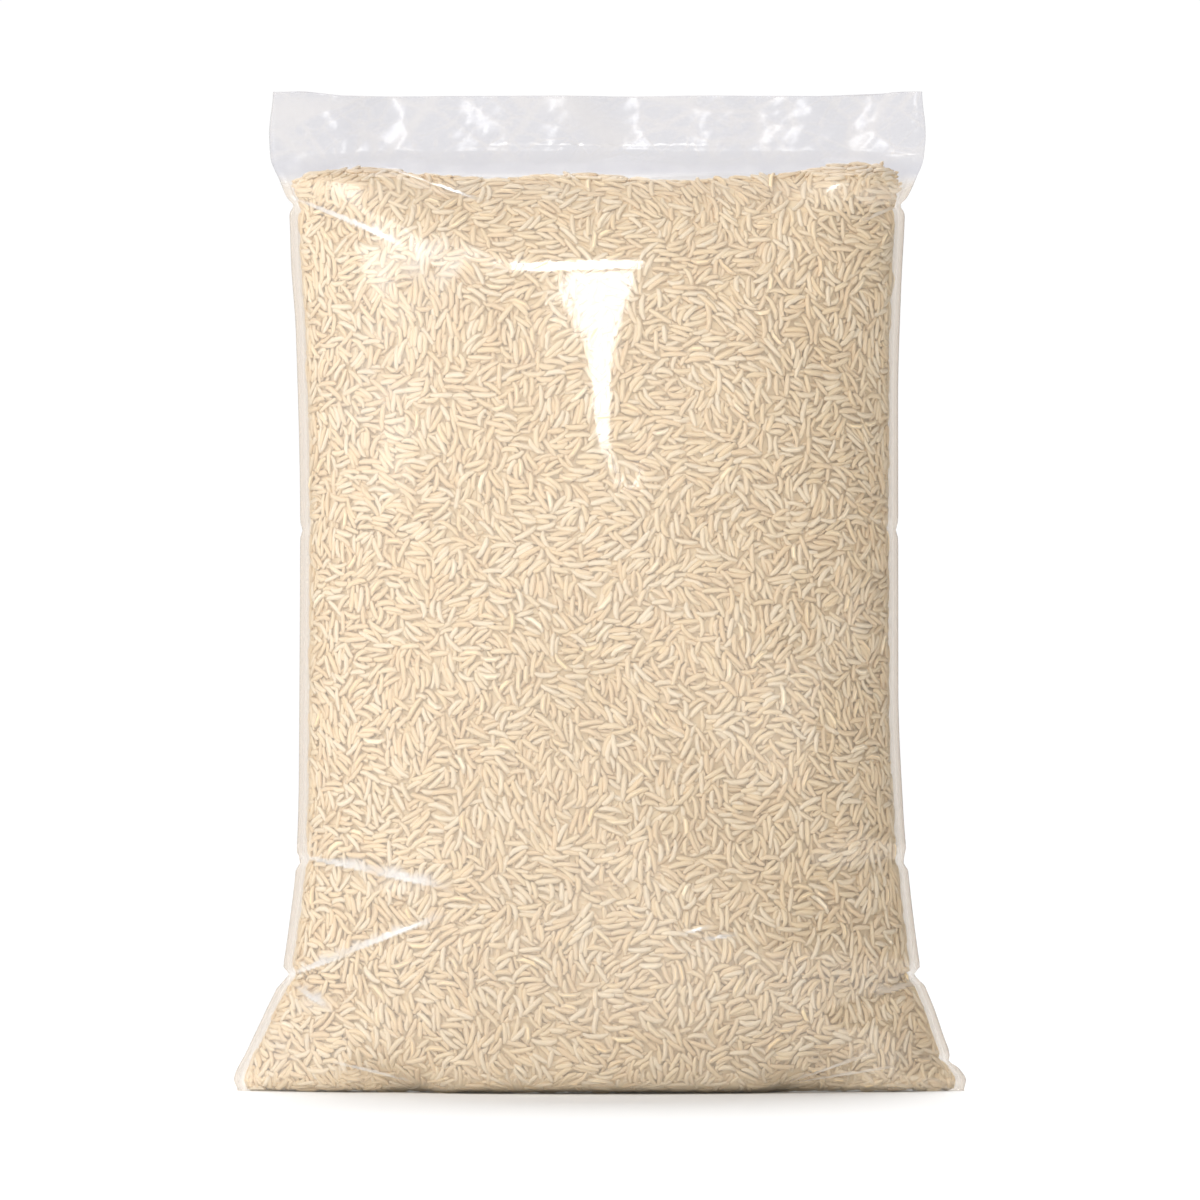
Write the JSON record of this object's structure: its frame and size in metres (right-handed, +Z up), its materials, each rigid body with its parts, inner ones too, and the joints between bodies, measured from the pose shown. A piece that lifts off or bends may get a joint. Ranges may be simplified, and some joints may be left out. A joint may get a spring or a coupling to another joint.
{
  "type": "bag of rice",
  "caption": "Clear sealed pillow bag full of pale long-grain rice, standing on its slumped base, with two corner ears, pinched necks and an empty flat header above the seal.",
  "frame": {"origin": "centre of the bag's bounding box on the floor, in the middle of the flat base it stands on", "axes": "+Z up along the bag's height to the header's edge, -Y out of the front face, +X towards the right side crease as seen from the front"},
  "size_m": [0.212, 0.0791, 0.2897],
  "materials": {
    "rice_in_film": "glossy clear film over cream rice",
    "film": "glossy clear film, faintly grey",
    "rice": "satin, cream to pale gold grains"
  },
  "bodies": {
    "root": {"rice_bag": "rice_in_film"}
  },
  "joints": []
}
